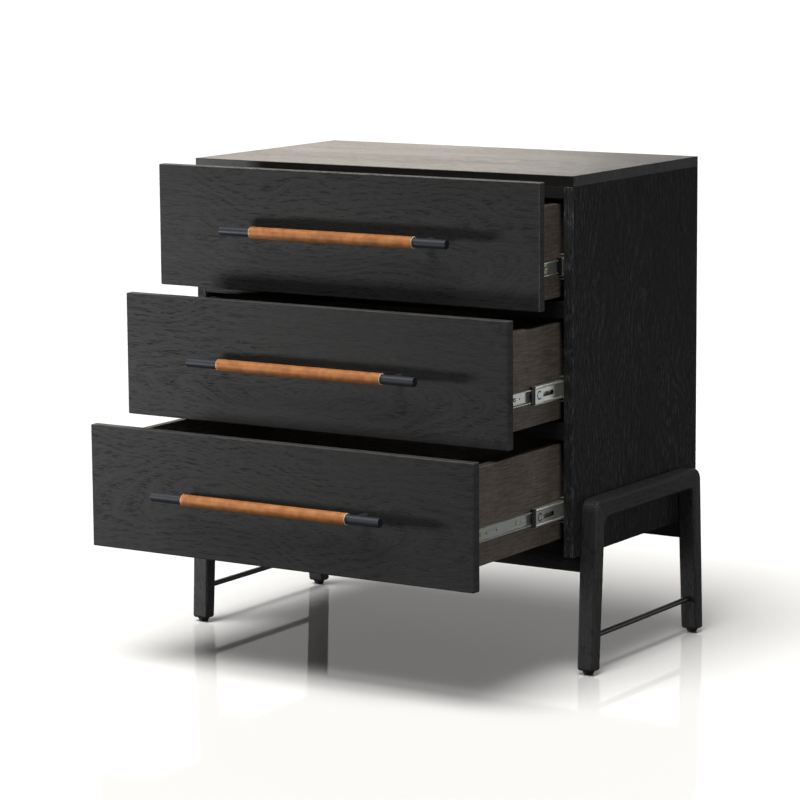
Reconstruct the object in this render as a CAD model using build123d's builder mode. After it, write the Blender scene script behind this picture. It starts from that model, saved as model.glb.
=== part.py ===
"""Three-drawer nightstand in black-stained oak, on two splayed end frames.

Millimetres, +Z up, +X to the right of someone facing the drawers, drawers open towards -Y.
The origin is on the floor, under the middle of the whole object as it stands with its
drawers partly open.
"""

import os

from build123d import *

os.makedirs("parts", exist_ok=True)

# ---- Driving dimensions -------------------------------------------------------------------

# Carcass
width = 762.0               # across the outsides of the side panels
depth = 439.0               # front edge of the side panels to their back edge
height = 838.0              # floor to the top of the slab
carcass_bottom = 201.0      # floor to the bottom of the side panels
board = 18.0                # every carcass board
back_thickness = 8.0
soft_edge = 1.0             # rounding on visible board edges
rail_height = 28.0          # divider rails between the drawers
top_rail_height = 20.0
rail_setback = 29.0         # carcass front to the face of the bottom panel and front cross rail

# End frames
frame_thickness = 32.5
frame_top = 297.0
frame_inner_top = 263.0
frame_middle = 210.5        # behind the carcass front: half the closed depth
leg_end = 7.2               # floor to the wooden end of a leg
half_out_low, half_out_high = 198.6, 185.5
half_in_low, half_in_high = 174.0, 157.0
outer_corner, inner_corner = 22.0, 15.0
frame_edge = 5.0            # rounding along every edge of the frame
cross_rail_height = 29.0
cross_rail_thickness = 18.0
cross_rail_inset = 1.0      # in from the inner edge of the leg, so the rail sits on the leg
stretcher_radius = 5.0
stretcher_height = 62.8
stretcher_tenon = 12.0      # how far the rod runs into each leg
pad_low_radius, pad_high_radius = 7.8, 10.3     # a rubber pad, tapered towards the floor
pad_height = 7.2
stud_radius, stud_length = 4.0, 25.0
bolt_radius, bolt_length, bolt_height = 3.0, 36.0, 230.0
bolt_head_radius, bolt_head = 6.0, 3.5
fastener_gap = 0.1          # clearance round a bolt or stud in its hole
bolt_depth = 20.0           # blind hole in the leg

# Drawer fronts
front_width = 760.0
front_height = 209.5
front_thickness = 18.0
front_edge = 1.8            # rounding along every edge of a front
front_gap = 3.7             # between two fronts
top_reveal = 2.0            # slab top down to the top edge of the top front
closed_gap = 1.0            # bumper space behind a closed front
bumper_radius, bumper_thickness, bumper_lift = 2.5, 0.8, 33.0

# Drawer boxes
wall = 15.0
box_length = 400.0
box_bottom_height = 229.5   # floor to the underside of the bottom box
box_pitch = 203.5
box_height = 162.0
top_box_height = 155.0      # lower, to pass under the top rail
panel_thickness = 8.0       # drawer bottom
panel_lift = 12.0           # underside of the box to the groove
groove = 6.0
panel_slack = 0.2

# Slides: three nested steel channels in the space beside each box
slide_gap = 12.7
slide_lift = 51.5           # underside of the box to the middle of the slide
steel = 1.2
member_length = 398.0
member_setback = 2.0
cabinet_half, middle_half, drawer_half = 21.0, 15.8, 11.0
windows = ((42.5, 34.0), (200.0, 16.0), (346.0, 16.0))   # middle and length of each, from the front
window_height = 8.0
member_hole = 1.75
screw_radius, screw_length = 2.0, 13.0
screw_head_radius, screw_head = 3.6, 2.0
flat_head = 1.2             # thin heads, to pass behind the middle members
cabinet_screw_places = (35.0, 355.0)     # along each cabinet member
screw_places = (51.0, 163.0, 355.0)      # behind the front, along the drawer
spare_places = (67.0, 99.0, 177.0, 209.0, 305.0)

# Handles
bar_radius, bar_length = 8.0, 452.0
sleeve_radius, sleeve_length = 10.0, 326.0
sleeve_fit = 0.05
standoff = 34.0             # front face to the axis of the bar
post_radius, post_spacing = 6.0, 352.0
handle_screw = 2.0

# How far each drawer and its middle slide members stand open, bottom to top
names = ("bottom", "middle", "top")
open_by = {"bottom": 296.0, "middle": 190.0, "top": 90.0}
middle_by = {"bottom": 87.0, "middle": 89.0, "top": 0.0}

# ---- Worked out from the above ------------------------------------------------------------

reach = open_by["bottom"] + closed_gap + front_thickness + standoff + sleeve_radius
front_y = (reach - depth) / 2          # carcass front plane
back_y = front_y + depth
frame_y = front_y + frame_middle
side_x = width / 2
inside_x = side_x - board
box_x = inside_x - slide_gap
under_slab = height - board
leg_x = side_x + frame_thickness / 2


def keep(piece, name):
    """Label a finished piece and write it to its own file."""
    piece.part.label = name
    export_step(piece.part, f"parts/{name}.step")


def block(x_range, y_range, z_range):
    """Extrude a plain board between its limits into the part being built."""
    (x0, x1), (y0, y1), (z0, z1) = x_range, y_range, z_range
    with BuildSketch(Plane.XY.offset(z0)) as face:
        with Locations(((x0 + x1) / 2, (y0 + y1) / 2)):
            Rectangle(x1 - x0, y1 - y0)
    extrude(face.sketch, amount=z1 - z0)


def round_rods(plane, places, radius, length, mode=Mode.ADD):
    """Extrude one round rod or hole from each place on a plane, along its normal."""
    with BuildSketch(plane) as ends:
        with Locations(*places):
            Circle(radius)
    extrude(ends.sketch, amount=length, mode=mode)


# ---- Carcass ------------------------------------------------------------------------------

with BuildPart() as top_slab:
    block((-side_x, side_x), (front_y, back_y), (under_slab, height))
    fillet(top_slab.edges(), soft_edge)
keep(top_slab, "top_slab")

bolt_z_share = (bolt_height - leg_end) / (frame_top - leg_end)
bolt_reach = (half_out_low + (half_out_high - half_out_low) * bolt_z_share
              + half_in_low + (half_in_high - half_in_low) * bolt_z_share) / 2
bolt_places = [(frame_y + end * bolt_reach, bolt_height) for end in (-1, 1)]
bolt_hole = bolt_radius + fastener_gap

for side, hand in ((-1, "left"), (1, "right")):
    with BuildPart() as side_panel:
        span = sorted((side * inside_x, side * side_x))
        block(span, (front_y, back_y), (carcass_bottom, under_slab))
        fillet(side_panel.edges(), soft_edge)
        round_rods(Plane.YZ.offset(span[0]), bolt_places, bolt_hole, board, Mode.SUBTRACT)
    keep(side_panel, f"{hand}_side_panel")

panel_back = back_y - back_thickness
with BuildPart() as bottom_panel:
    block((-inside_x, inside_x), (front_y + rail_setback, panel_back),
          (carcass_bottom, carcass_bottom + board))
    fillet(bottom_panel.edges().filter_by(Axis.X), soft_edge)
keep(bottom_panel, "bottom_panel")

with BuildPart() as back_panel:
    block((-inside_x, inside_x), (panel_back, back_y), (carcass_bottom, under_slab))
keep(back_panel, "back_panel")

with BuildPart() as top_rail:
    block((-inside_x, inside_x), (front_y, front_y + board), (under_slab - top_rail_height, under_slab))
    fillet(top_rail.edges().filter_by(Axis.X), soft_edge)
keep(top_rail, "top_rail")

box_low = {name: box_bottom_height + step * box_pitch for step, name in enumerate(names)}
box_tall = {name: top_box_height if name == "top" else box_height for name in names}
rail_clearance = (box_pitch - box_height - rail_height) / 2

for above, below in (("middle", "bottom"), ("top", "middle")):
    with BuildPart() as divider:
        low = box_low[below] + box_height + rail_clearance
        block((-inside_x, inside_x), (front_y, front_y + board), (low, low + rail_height))
        fillet(divider.edges().filter_by(Axis.X), soft_edge)
    keep(divider, "upper_divider_rail" if above == "top" else "lower_divider_rail")

bumper_height = carcass_bottom + bumper_lift
with BuildPart() as front_bumpers:
    bumper_x = side_x - board / 2
    round_rods(Plane.XZ.offset(-front_y), [(-bumper_x, bumper_height), (bumper_x, bumper_height)],
               bumper_radius, bumper_thickness)
keep(front_bumpers, "front_bumpers")

# ---- End frames ---------------------------------------------------------------------------


def end_frame(side):
    """Build one whole inverted-U end frame, rounded along every edge."""
    outline = [(-half_out_low, leg_end), (-half_out_high, frame_top),
               (half_out_high, frame_top), (half_out_low, leg_end),
               (half_in_low, leg_end), (half_in_high, frame_inner_top),
               (-half_in_high, frame_inner_top), (-half_in_low, leg_end)]
    near_face = side_x if side > 0 else -side_x - frame_thickness
    with BuildSketch(Plane.YZ.offset(near_face)) as profile:
        with BuildLine():
            Polyline(*[(frame_y + y, z) for y, z in outline], close=True)
        make_face()
        corners = profile.vertices().group_by(Axis.Y)
        fillet([v for v in corners[-1]], outer_corner)
        fillet(profile.vertices().filter_by(
            lambda v: abs(v.Y - frame_inner_top) < 0.01 and abs(abs(v.X - frame_y) - half_in_high) < 1),
            inner_corner)
    extrude(profile.sketch, amount=frame_thickness)


def mitre(end):
    """Plane through the outer and inner corner of a frame, its normal towards the rail."""
    rise = frame_top - frame_inner_top
    run = half_out_high - half_in_high
    return Plane(origin=(0, frame_y + end * half_in_high, frame_inner_top), x_dir=(1, 0, 0),
                 z_dir=(0, -end * rise, run))


for side, hand in ((-1, "left"), (1, "right")):
    with BuildPart() as frame_rail:
        end_frame(side)
        fillet(frame_rail.edges(), frame_edge)
        split(bisect_by=mitre(-1), keep=Keep.TOP)
        split(bisect_by=mitre(1), keep=Keep.TOP)
    keep(frame_rail, f"{hand}_frame_rail")

    for end, place in ((-1, "front"), (1, "rear")):
        with BuildPart() as leg:
            end_frame(side)
            fillet(leg.edges(), frame_edge)
            split(bisect_by=mitre(end), keep=Keep.BOTTOM)
            inner_face = Plane.YZ.offset(side_x if side > 0 else -side_x - bolt_depth)
            round_rods(inner_face, [(frame_y + end * bolt_reach, bolt_height)], bolt_hole, bolt_depth,
                       Mode.SUBTRACT)
            rod_share = (stretcher_height - leg_end) / (frame_inner_top - leg_end)
            rod_half = half_in_low + (half_in_high - half_in_low) * rod_share + stretcher_tenon
            round_rods(Plane.XZ.offset(-frame_y - rod_half), [(side * leg_x, stretcher_height)],
                       stretcher_radius, 2 * rod_half, Mode.SUBTRACT)
            stud_y = frame_y + end * (half_out_low + half_in_low) / 2
            round_rods(Plane.XY.offset(leg_end), [(side * leg_x, stud_y)],
                       stud_radius + fastener_gap, stud_length, Mode.SUBTRACT)
        keep(leg, f"{hand}_{place}_leg")

    with BuildPart() as stretcher:
        round_rods(Plane.XZ.offset(-frame_y - rod_half), [(side * leg_x, stretcher_height)],
                   stretcher_radius, 2 * rod_half)
    keep(stretcher, f"{hand}_stretcher")

cross_z = (carcass_bottom - cross_rail_height, carcass_bottom)
for end, place in ((-1, "front"), (1, "rear")):
    with BuildPart() as cross_rail:
        share = (cross_z[0] - leg_end) / (frame_inner_top - leg_end)
        inner_half = half_in_low + (half_in_high - half_in_low) * share
        near = frame_y + end * (inner_half + cross_rail_inset)
        far = near + end * cross_rail_thickness
        block((-side_x, side_x), sorted((near, far)), cross_z)
        fillet(cross_rail.edges().filter_by(Axis.X), soft_edge)
    keep(cross_rail, f"{place}_cross_rail")

with BuildPart() as levelling_feet:
    foot_y = (half_out_low + half_in_low) / 2
    foot_places = [(x, frame_y + y) for x in (-leg_x, leg_x) for y in (-foot_y, foot_y)]
    with Locations(*[(x, y, 0) for x, y in foot_places]):
        Cone(pad_low_radius, pad_high_radius, pad_height, align=(Align.CENTER, Align.CENTER, Align.MIN))
    fillet(levelling_feet.edges().filter_by(GeomType.CIRCLE).group_by(Axis.Z)[0], 0.8)
    round_rods(Plane.XY.offset(pad_height), foot_places, stud_radius, stud_length - 2)
keep(levelling_feet, "levelling_feet")

with BuildPart() as frame_bolts:
    for side in (-1, 1):
        shank_start = side * inside_x if side > 0 else side * inside_x - bolt_length
        head_start = side * inside_x - (bolt_head if side > 0 else 0)
        round_rods(Plane.YZ.offset(shank_start), bolt_places, bolt_radius, bolt_length)
        round_rods(Plane.YZ.offset(head_start), bolt_places, bolt_head_radius, bolt_head)
keep(frame_bolts, "frame_bolts")

# ---- Slides on the carcass ----------------------------------------------------------------


def channel(sides, middle_z, web_out, flange_in, half, front, length):
    """Extrude a steel channel: a web standing at web_out and flanges reaching to flange_in."""
    web_in = web_out + (steel if flange_in > web_out else -steel)
    rear_plane = Plane.XZ.offset(-front - length)
    with BuildSketch(rear_plane) as section:
        for side in sides:
            with Locations((side * (web_out + web_in) / 2, middle_z)):
                Rectangle(steel, 2 * half)
            for edge in (-1, 1):
                with Locations((side * (web_out + flange_in) / 2, middle_z + edge * (half - steel / 2))):
                    Rectangle(abs(web_out - flange_in), steel)
        bends = section.vertices().filter_by(lambda v: abs(abs(v.X) - web_out) < 0.01)
        fillet(bends, steel * 0.8)
    extrude(section.sketch, amount=length)


slide_z = {name: box_low[name] + slide_lift for name in names}
cabinet_web, cabinet_tip = inside_x, inside_x - 9.5
middle_web, middle_tip = inside_x - 3.0, box_x + 1.8
drawer_web, drawer_tip = box_x, box_x + 6.5
members_front = front_y + member_setback
fixing_places = [(members_front + along, slide_z[name])
                 for along in cabinet_screw_places for name in names]

for side, hand in ((-1, "left"), (1, "right")):
    with BuildPart() as cabinet_members:
        for name in names:
            channel([side], slide_z[name], cabinet_web, cabinet_tip, cabinet_half,
                    members_front, member_length)
        round_rods(Plane.YZ.offset(side * inside_x - (steel if side > 0 else 0)), fixing_places,
                   screw_radius + fastener_gap, steel, Mode.SUBTRACT)
    keep(cabinet_members, f"{hand}_cabinet_slides")

with BuildPart() as cabinet_screws:
    for side in (-1, 1):
        face = side * (inside_x - steel)
        shank_start = face if side > 0 else face - screw_length
        head_start = face - flat_head if side > 0 else face
        round_rods(Plane.YZ.offset(shank_start), fixing_places, screw_radius, screw_length)
        round_rods(Plane.YZ.offset(head_start), fixing_places, screw_head_radius, flat_head)
keep(cabinet_screws, "cabinet_slide_screws")

# ---- Drawers ------------------------------------------------------------------------------

for step, name in enumerate(names):
    front_back = front_y - closed_gap - open_by[name]      # back face of this drawer's front
    front_face = front_back - front_thickness
    box_back = front_back + box_length
    low, tall = box_low[name], box_tall[name]
    front_top = height - top_reveal - (2 - step) * (front_height + front_gap)
    front_low = front_top - front_height
    handle_z = front_top - front_height / 2
    posts_x = (-post_spacing / 2, post_spacing / 2)
    screw_hole = handle_screw + fastener_gap
    groove_z = (low + panel_lift, low + panel_lift + panel_thickness)

    with BuildPart() as front:
        block((-front_width / 2, front_width / 2), (front_face, front_back), (front_low, front_top))
        fillet(front.edges(), front_edge)
        round_rods(Plane.XZ.offset(-front_back), [(x, handle_z) for x in posts_x], screw_hole,
                   front_thickness, Mode.SUBTRACT)
    keep(front, f"{name}_drawer_front")

    for side, hand in ((-1, "left"), (1, "right")):
        with BuildPart() as box_side:
            block(sorted((side * box_x, side * (box_x - wall))), (front_back, box_back), (low, low + tall))
            fillet(box_side.edges().filter_by(Axis.Y).group_by(Axis.Z)[-1], 2.0)
            with BuildSketch(Plane.XZ.offset(-box_back)):
                with Locations((side * (box_x - wall + groove / 2), sum(groove_z) / 2)):
                    Rectangle(groove, panel_thickness)
            extrude(amount=box_length, mode=Mode.SUBTRACT)
        keep(box_side, f"{name}_drawer_{hand}_side")

    inner_x = box_x - wall
    with BuildPart() as inner_front:
        block((-inner_x, inner_x), (front_back, front_back + wall), (low, low + tall))
        block_groove_y = front_back + wall - groove / 2
        with BuildSketch(Plane.XY.offset(groove_z[0])):
            with Locations((0, block_groove_y)):
                Rectangle(2 * inner_x, groove)
        extrude(amount=panel_thickness, mode=Mode.SUBTRACT)
        round_rods(Plane.XZ.offset(-front_back - wall), [(x, handle_z) for x in posts_x], screw_hole,
                   wall, Mode.SUBTRACT)
    keep(inner_front, f"{name}_drawer_inner_front")

    with BuildPart() as box_end:
        block((-inner_x, inner_x), (box_back - wall, box_back), (low, low + tall))
        with BuildSketch(Plane.XY.offset(groove_z[0])):
            with Locations((0, box_back - wall + groove / 2)):
                Rectangle(2 * inner_x, groove)
        extrude(amount=panel_thickness, mode=Mode.SUBTRACT)
    keep(box_end, f"{name}_drawer_back")

    with BuildPart() as drawer_bottom:
        edge_x = inner_x + groove - panel_slack
        edge_y = (front_back + wall - groove + panel_slack, box_back - wall + groove - panel_slack)
        block((-edge_x, edge_x), edge_y, (groove_z[0] + panel_slack, groove_z[1] - panel_slack))
    keep(drawer_bottom, f"{name}_drawer_bottom")

    # Handle: bar on two posts, with a leather sleeve round its middle
    bar_y = front_face - standoff
    with BuildPart() as bar:
        round_rods(Plane.YZ.offset(-bar_length / 2), [(bar_y, handle_z)], bar_radius, bar_length)
        chamfer(bar.edges().filter_by(GeomType.CIRCLE), 0.8)
        round_rods(Plane.XZ.offset(-bar_y), [(x, handle_z) for x in posts_x], screw_hole,
                   -bar_radius, Mode.SUBTRACT)
    keep(bar, f"{name}_handle_bar")

    with BuildPart() as sleeve:
        sleeve_start = Plane.YZ.offset(-sleeve_length / 2)
        round_rods(sleeve_start, [(bar_y, handle_z)], sleeve_radius, sleeve_length)
        fillet(sleeve.edges().filter_by(GeomType.CIRCLE), 0.6)
        round_rods(sleeve_start, [(bar_y, handle_z)], bar_radius + sleeve_fit, sleeve_length,
                   Mode.SUBTRACT)
    keep(sleeve, f"{name}_handle_sleeve")

    with BuildPart() as posts:
        round_rods(Plane.XZ.offset(-front_face), [(x, handle_z) for x in posts_x], post_radius, standoff)
        round_rods(Plane.YZ.offset(-bar_length / 2), [(bar_y, handle_z)], bar_radius, bar_length,
                   Mode.SUBTRACT)
        round_rods(Plane.XZ.offset(-front_face), [(x, handle_z) for x in posts_x], screw_hole,
                   standoff, Mode.SUBTRACT)
    keep(posts, f"{name}_handle_posts")

    # Slide members that travel with the drawer
    members_back = front_back + member_setback
    along = [front_back + place for place in spare_places]
    with BuildPart() as drawer_members:
        channel([-1, 1], slide_z[name], drawer_web, drawer_tip, drawer_half, members_back, member_length)
        round_rods(Plane.YZ.offset(-box_x - steel), [(y, slide_z[name]) for y in along], member_hole,
                   steel, Mode.SUBTRACT)
        round_rods(Plane.YZ.offset(box_x), [(y, slide_z[name]) for y in along], member_hole,
                   steel, Mode.SUBTRACT)
        drilled = [(front_back + place, slide_z[name]) for place in screw_places]
        for side in (-1, 1):
            start = box_x if side > 0 else -box_x - steel
            round_rods(Plane.YZ.offset(start), drilled, screw_radius + fastener_gap, steel,
                       Mode.SUBTRACT)
    keep(drawer_members, f"{name}_drawer_slides")

    with BuildPart() as screws:
        for side in (-1, 1):
            face = side * (box_x + steel)
            shank_start = face - screw_length if side > 0 else face
            head_start = face if side > 0 else face - screw_head
            round_rods(Plane.YZ.offset(shank_start), drilled, screw_radius, screw_length)
            round_rods(Plane.YZ.offset(head_start), drilled, screw_head_radius, screw_head)
        screw_back = front_back + wall
        places = [(x, handle_z) for x in posts_x]
        round_rods(Plane.XZ.offset(-screw_back), places, handle_screw,
                   wall + front_thickness + standoff - bar_radius + 2)
        round_rods(Plane.XZ.offset(-screw_back - screw_head), places, screw_head_radius, screw_head)
    keep(screws, f"{name}_drawer_screws")

    # Middle slide members, between the carcass and the drawer
    middle_front = members_front - middle_by[name]
    with BuildPart() as middle_members:
        channel([-1, 1], slide_z[name], middle_web, middle_tip, middle_half, middle_front,
                member_length)
        with BuildSketch(Plane.YZ.offset(-middle_web - 1)):
            for along, long in windows:
                with Locations((middle_front + along, slide_z[name])):
                    Rectangle(long, window_height)
        extrude(amount=2 * middle_web + 2, mode=Mode.SUBTRACT)
    keep(middle_members, f"{name}_middle_slides")
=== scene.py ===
# %% [markdown]
# A three-drawer nightstand in black-stained oak, looked at as a maker would look at it: which
# pieces are boards, which are pressed steel, which are leather, and what each finish does to
# the light. The CAD model gives every board, channel and rod its true size and place. This
# script gives them their surfaces, and builds the small pieces that CAD leaves plain: screws,
# leather sleeves with their stitches, slide retainers with their balls, and the feet.

# %% Load the frame
from math import cos, exp, pi, radians, sin

import bmesh
import bpy
from mathutils import Matrix, Vector, noise


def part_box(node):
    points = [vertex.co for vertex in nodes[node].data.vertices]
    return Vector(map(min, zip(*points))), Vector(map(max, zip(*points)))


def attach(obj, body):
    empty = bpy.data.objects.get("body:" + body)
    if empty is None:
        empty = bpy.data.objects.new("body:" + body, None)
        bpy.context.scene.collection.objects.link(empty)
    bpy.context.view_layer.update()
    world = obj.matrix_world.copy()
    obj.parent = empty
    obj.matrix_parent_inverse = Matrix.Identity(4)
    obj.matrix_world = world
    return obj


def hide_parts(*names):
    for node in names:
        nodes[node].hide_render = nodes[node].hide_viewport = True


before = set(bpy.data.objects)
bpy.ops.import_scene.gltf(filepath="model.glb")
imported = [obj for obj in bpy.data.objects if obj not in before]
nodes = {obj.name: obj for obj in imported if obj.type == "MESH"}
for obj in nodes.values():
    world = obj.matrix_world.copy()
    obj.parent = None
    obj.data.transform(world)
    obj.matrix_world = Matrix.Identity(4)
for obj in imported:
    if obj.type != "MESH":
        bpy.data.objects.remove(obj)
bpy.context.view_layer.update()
drawers = ("bottom", "middle", "top")
mm = 0.001   # everything in the frame is in metres

# %% [markdown]
# The camera stands to the right of the chest, a little above it, with a long lens. A long lens
# keeps the drawer fronts nearly parallel, which is how furniture is usually shown.

# %% Camera
camera_data = bpy.data.cameras.new("camera")
camera_data.lens = 149.97
camera_data.sensor_width = 36.0
camera_data.clip_end = 300.0
camera = bpy.data.objects.new("camera", camera_data)
bpy.context.collection.objects.link(camera)
stand = (3.0699, -4.7696, 1.3313)
turn, tip, lean = radians(32.63), radians(90 - 9.006), radians(-0.417)
camera.matrix_world = (Matrix.Translation(stand) @ Matrix.Rotation(turn, 4, "Z")
                       @ Matrix.Rotation(tip, 4, "X") @ Matrix.Rotation(lean, 4, "Z"))
bpy.context.scene.camera = camera
bpy.context.scene.view_settings.view_transform = "Standard"
print("camera at", tuple(camera.matrix_world.translation))

# %% [markdown]
# Every tree of nodes below, for materials, the world and geometry, is written with one helper.
# It adds a node, sets its properties, and fills each input with a value or with a link.


# %% Node helper and colours
def add(tree, kind, inputs=None, **settings):
    """Add a node: settings are its properties, inputs are values or linked sockets."""
    made = tree.nodes.new(kind)
    for name, value in settings.items():
        setattr(made, name, value)
    for name, value in (inputs or {}).items():
        if isinstance(value, bpy.types.NodeSocket):
            tree.links.new(value, made.inputs[name])
        else:
            made.inputs[name].default_value = value
    return made


def colour(code):
    """Turn an sRGB hex code such as "1f2024" into a linear colour with alpha."""
    parts = [int(code[i:i + 2], 16) / 255 for i in (0, 2, 4)]
    return tuple(p / 12.92 if p <= 0.04045 else ((p + 0.055) / 1.055) ** 2.4 for p in parts) + (1.0,)


def start_material(name):
    """A new material with its output and an empty tree, ready for a Principled shader."""
    material = bpy.data.materials.new(name)
    material.use_nodes = True
    material.node_tree.nodes.clear()
    return material, material.node_tree


def finish_material(tree, inputs):
    """Add the Principled shader with these inputs and send it to the surface output."""
    shader = add(tree, "ShaderNodeBsdfPrincipled", inputs)
    add(tree, "ShaderNodeOutputMaterial", {"Surface": shader.outputs[0]})


print("the dark stain in linear light", [round(c, 4) for c in colour("272727")])

# %% [markdown]
# A studio for dark furniture is mostly dark. A broad light overhead bleaches the floor and
# leaves a soft shadow under the chest, and a pale wall behind on the left lies along the top as
# sheen. These two are lobes of the world, each a smooth step of the angle to a direction, so
# they have no edge that would show in the lacquer. The camera itself sees plain white.

# %% Room light
world = bpy.data.worlds.new("studio")
bpy.context.scene.world = world
world.use_nodes = True
tree = world.node_tree
tree.nodes.clear()
direction = add(tree, "ShaderNodeTexCoord").outputs["Generated"]


def lobe(towards, start, full, strength, base=0.0):
    """Light from around one direction: nothing below the cosine start, all of it from full."""
    facing = add(tree, "ShaderNodeVectorMath", {0: direction, 1: Vector(towards).normalized()},
                 operation="DOT_PRODUCT")
    return add(tree, "ShaderNodeMapRange", {"Value": facing.outputs["Value"], "From Min": start,
               "From Max": full, "To Min": base, "To Max": strength},
               interpolation_type="SMOOTHSTEP").outputs[0]


overhead = lobe((-0.08, -0.38, 1.0), start=0.90, full=0.985, strength=11.7, base=0.075)
wall = lobe((-0.57, 0.82, 0.03), start=0.76, full=0.95, strength=1.1)
level = add(tree, "ShaderNodeMath", {0: overhead, 1: wall}, operation="ADD").outputs[0]
glow = add(tree, "ShaderNodeBackground", {"Color": colour("fffdfa"), "Strength": level})
white = add(tree, "ShaderNodeBackground", {"Color": (1, 1, 1, 1), "Strength": 1.0})
seen = add(tree, "ShaderNodeLightPath").outputs["Is Camera Ray"]
mixed = add(tree, "ShaderNodeMixShader", {0: seen, 1: glow.outputs[0], 2: white.outputs[0]})
add(tree, "ShaderNodeOutputWorld", {"Surface": mixed.outputs[0]})
print("world nodes", len(tree.nodes))

# %% [markdown]
# Four area lights do what the room can't. A small low one on the left rakes the fronts and
# throws the crisp handle shadows. A card on the right opens up the shaded end. Behind the chest
# a warm softbox on the left lays a gleam along the top, and a cooler one on the right glances
# along the right side. Area lights suit this, because their size sets how soft a shadow is.


# %% Area lights
def lamp(name, size, power, place, target, tint="ffffff"):
    """A soft light, its size in metres and power in watts, at a place and facing a target."""
    data = bpy.data.lights.new(name, "AREA")
    data.shape = "RECTANGLE"
    data.size, data.size_y, data.energy, data.color = *size, power, colour(tint)[:3]
    holder = bpy.data.objects.new(name, data)
    bpy.context.collection.objects.link(holder)
    away = (Vector(place) - Vector(target)).normalized()
    holder.matrix_world = Matrix.Translation(place) @ away.to_track_quat("Z", "Y").to_matrix().to_4x4()
    return holder


key = lamp("low_key_light", (0.30, 0.20), 32, (-1.78, -1.20, 0.31), (0, -0.2, 0.45))
card = lamp("right_card", (0.9, 1.2), 7.5, (2.0, -1.2, 0.40), (0.35, -0.1, 0.4))
softbox = lamp("back_left_softbox", (1.8, 0.9), 16, (-1.95, 2.4, 1.30), (0, 0.2, 0.83), "fff3e4")
glint = lamp("back_right_softbox", (1.1, 0.8), 5.5, (1.97, 2.37, 0.30), (0.36, -0.15, 0.45), "f4f7ff")

# %% [markdown]
# The floor is a sheet of white paper with a slight gloss: enough to hold a faint upside-down
# leg, too little to show the room. A fine fleck in the gloss keeps that reflection from looking
# like a mirror. The area lights leave the floor out, because a shadow from each of them on white
# paper would fight with the soft one under the chest.

# %% Floor
# White paper: chalky and even, with a trace of shine that holds the feet to the ground.
paper, tree = start_material("white_paper_sweep")
gloss_share = 0.11
fleck = add(tree, "ShaderNodeTexNoise", {"Scale": 60.0, "Detail": 4.0})
rough = add(tree, "ShaderNodeMapRange", {"Value": fleck.outputs["Fac"], "To Min": 0.03, "To Max": 0.06})
matt = add(tree, "ShaderNodeBsdfDiffuse", {"Color": (0.86, 0.86, 0.86, 1)})
gloss = add(tree, "ShaderNodeBsdfGlossy", {"Color": (1, 1, 1, 1), "Roughness": rough.outputs[0]})
sheen = add(tree, "ShaderNodeMixShader", {0: gloss_share, 1: matt.outputs[0], 2: gloss.outputs[0]})
add(tree, "ShaderNodeOutputMaterial", {"Surface": sheen.outputs[0]})
floor_mesh = bpy.data.meshes.new("floor")
reach = 90.0   # metres, far enough that its edge meets the white behind
corners = [(-reach, -reach, 0), (reach, -reach, 0), (reach, reach, 0), (-reach, reach, 0)]
floor_mesh.from_pydata(corners, [], [(0, 1, 2, 3)])
floor = bpy.data.objects.new("floor", floor_mesh)
floor_mesh.materials.append(paper)
bpy.context.collection.objects.link(floor)
floor.visible_glossy = False
floor.visible_diffuse = False
unlit = bpy.data.collections.new("left_out_of_low_lights")
unlit.objects.link(floor)
unlit.collection_objects[0].light_linking.link_state = "EXCLUDE"
for light in (key, card, softbox, glint):
    light.light_linking.receiver_collection = unlit
print("floor", 2 * reach, "m across, left out of", [light.name for light in (key, card, softbox, glint)])

# %% [markdown]
# Black-stained oak is open-grained oak veneer, stained nearly black and sealed with a matt
# lacquer. What shows is not colour but pores: short dark dashes along the grain, crowded where
# each growth ring begins, absent where it ends. On a board cut near the middle of the tree the
# rings open into arches. A ring is the distance from the tree's heart, so the pattern is the
# square root of two squares, bent by slow noise, and the pores are noise stretched along the
# grain and let through only in the early part of each ring. Real pores are a fifth of a
# millimetre wide and real rings one to three millimetres apart: both are drawn coarser here, so
# that they still show when the whole chest is seen.


# %% Black-stained oak
pore_band = 11.0 * mm     # from one crowd of pores to the next
growth_line = 3.5 * mm    # from one dark growth line to the next
pore_depth = 0.16 * mm


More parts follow.
